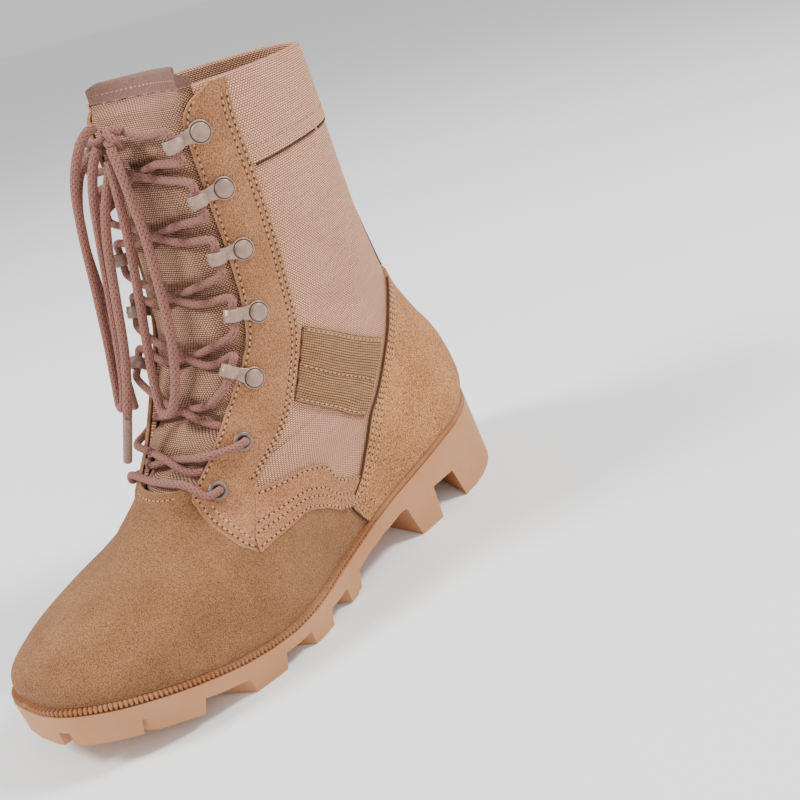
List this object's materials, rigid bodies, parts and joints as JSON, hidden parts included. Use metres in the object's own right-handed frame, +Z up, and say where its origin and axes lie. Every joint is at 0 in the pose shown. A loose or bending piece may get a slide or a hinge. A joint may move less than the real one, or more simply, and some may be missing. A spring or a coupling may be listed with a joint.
{
  "type": "combat boot",
  "caption": "Left lace-up combat boot in suede and canvas with webbing bands, speed hooks, bow-tied laces and a lugged rubber sole.",
  "frame": {"origin": "middle of the bounding box, on the floor under the boot", "axes": "+Z up; +Y toward the heel, so the toe points to -Y; +X toward the outer side of the left foot"},
  "size_m": [0.1038, 0.306, 0.2613],
  "materials": {
    "sole_rubber": "moulded tan rubber, matt",
    "welt_rubber": "moulded tan rubber with a serrated edge",
    "insole_foam": "cloth-covered foam",
    "canvas": "coarse woven nylon",
    "suede": "rough-out suede",
    "webbing": "ribbed webbing",
    "hardware": "satin paint on steel",
    "lace": "round braided cord",
    "aglet": "moulded tip"
  },
  "bodies": {
    "root": {"outsole": "sole_rubber", "welt": "welt_rubber", "insole": "insole_foam", "upper": "canvas", "tongue": "canvas", "tongue_trim": "suede", "facing_outer": "suede", "eyelet_outer_1": "hardware", "eyelet_outer_2": "hardware", "hook_outer_1": "hardware", "hook_outer_2": "hardware", "hook_outer_3": "hardware", "hook_outer_4": "hardware", "hook_outer_5": "hardware", "facing_inner": "suede", "eyelet_inner_1": "hardware", "eyelet_inner_2": "hardware", "hook_inner_1": "hardware", "hook_inner_2": "hardware", "hook_inner_3": "hardware", "hook_inner_4": "hardware", "hook_inner_5": "hardware", "heel_counter": "suede", "backstay": "webbing", "saddle_outer": "suede", "ankle_band_outer": "webbing", "lace_top_outer": "lace", "saddle_inner": "suede", "ankle_band_inner": "webbing", "lace_top_inner": "lace", "lace_bar": "lace", "lace_cross_1": "lace", "lace_cross_2": "lace", "lace_cross_3": "lace", "lace_cross_4": "lace", "lace_cross_5": "lace", "lace_cross_6": "lace", "lace_knot": "lace", "lace_loop_outer": "lace", "lace_loop_inner": "lace", "lace_end_outer": "lace", "aglet_outer": "aglet", "lace_end_inner": "lace", "aglet_inner": "aglet"}
  },
  "joints": []
}
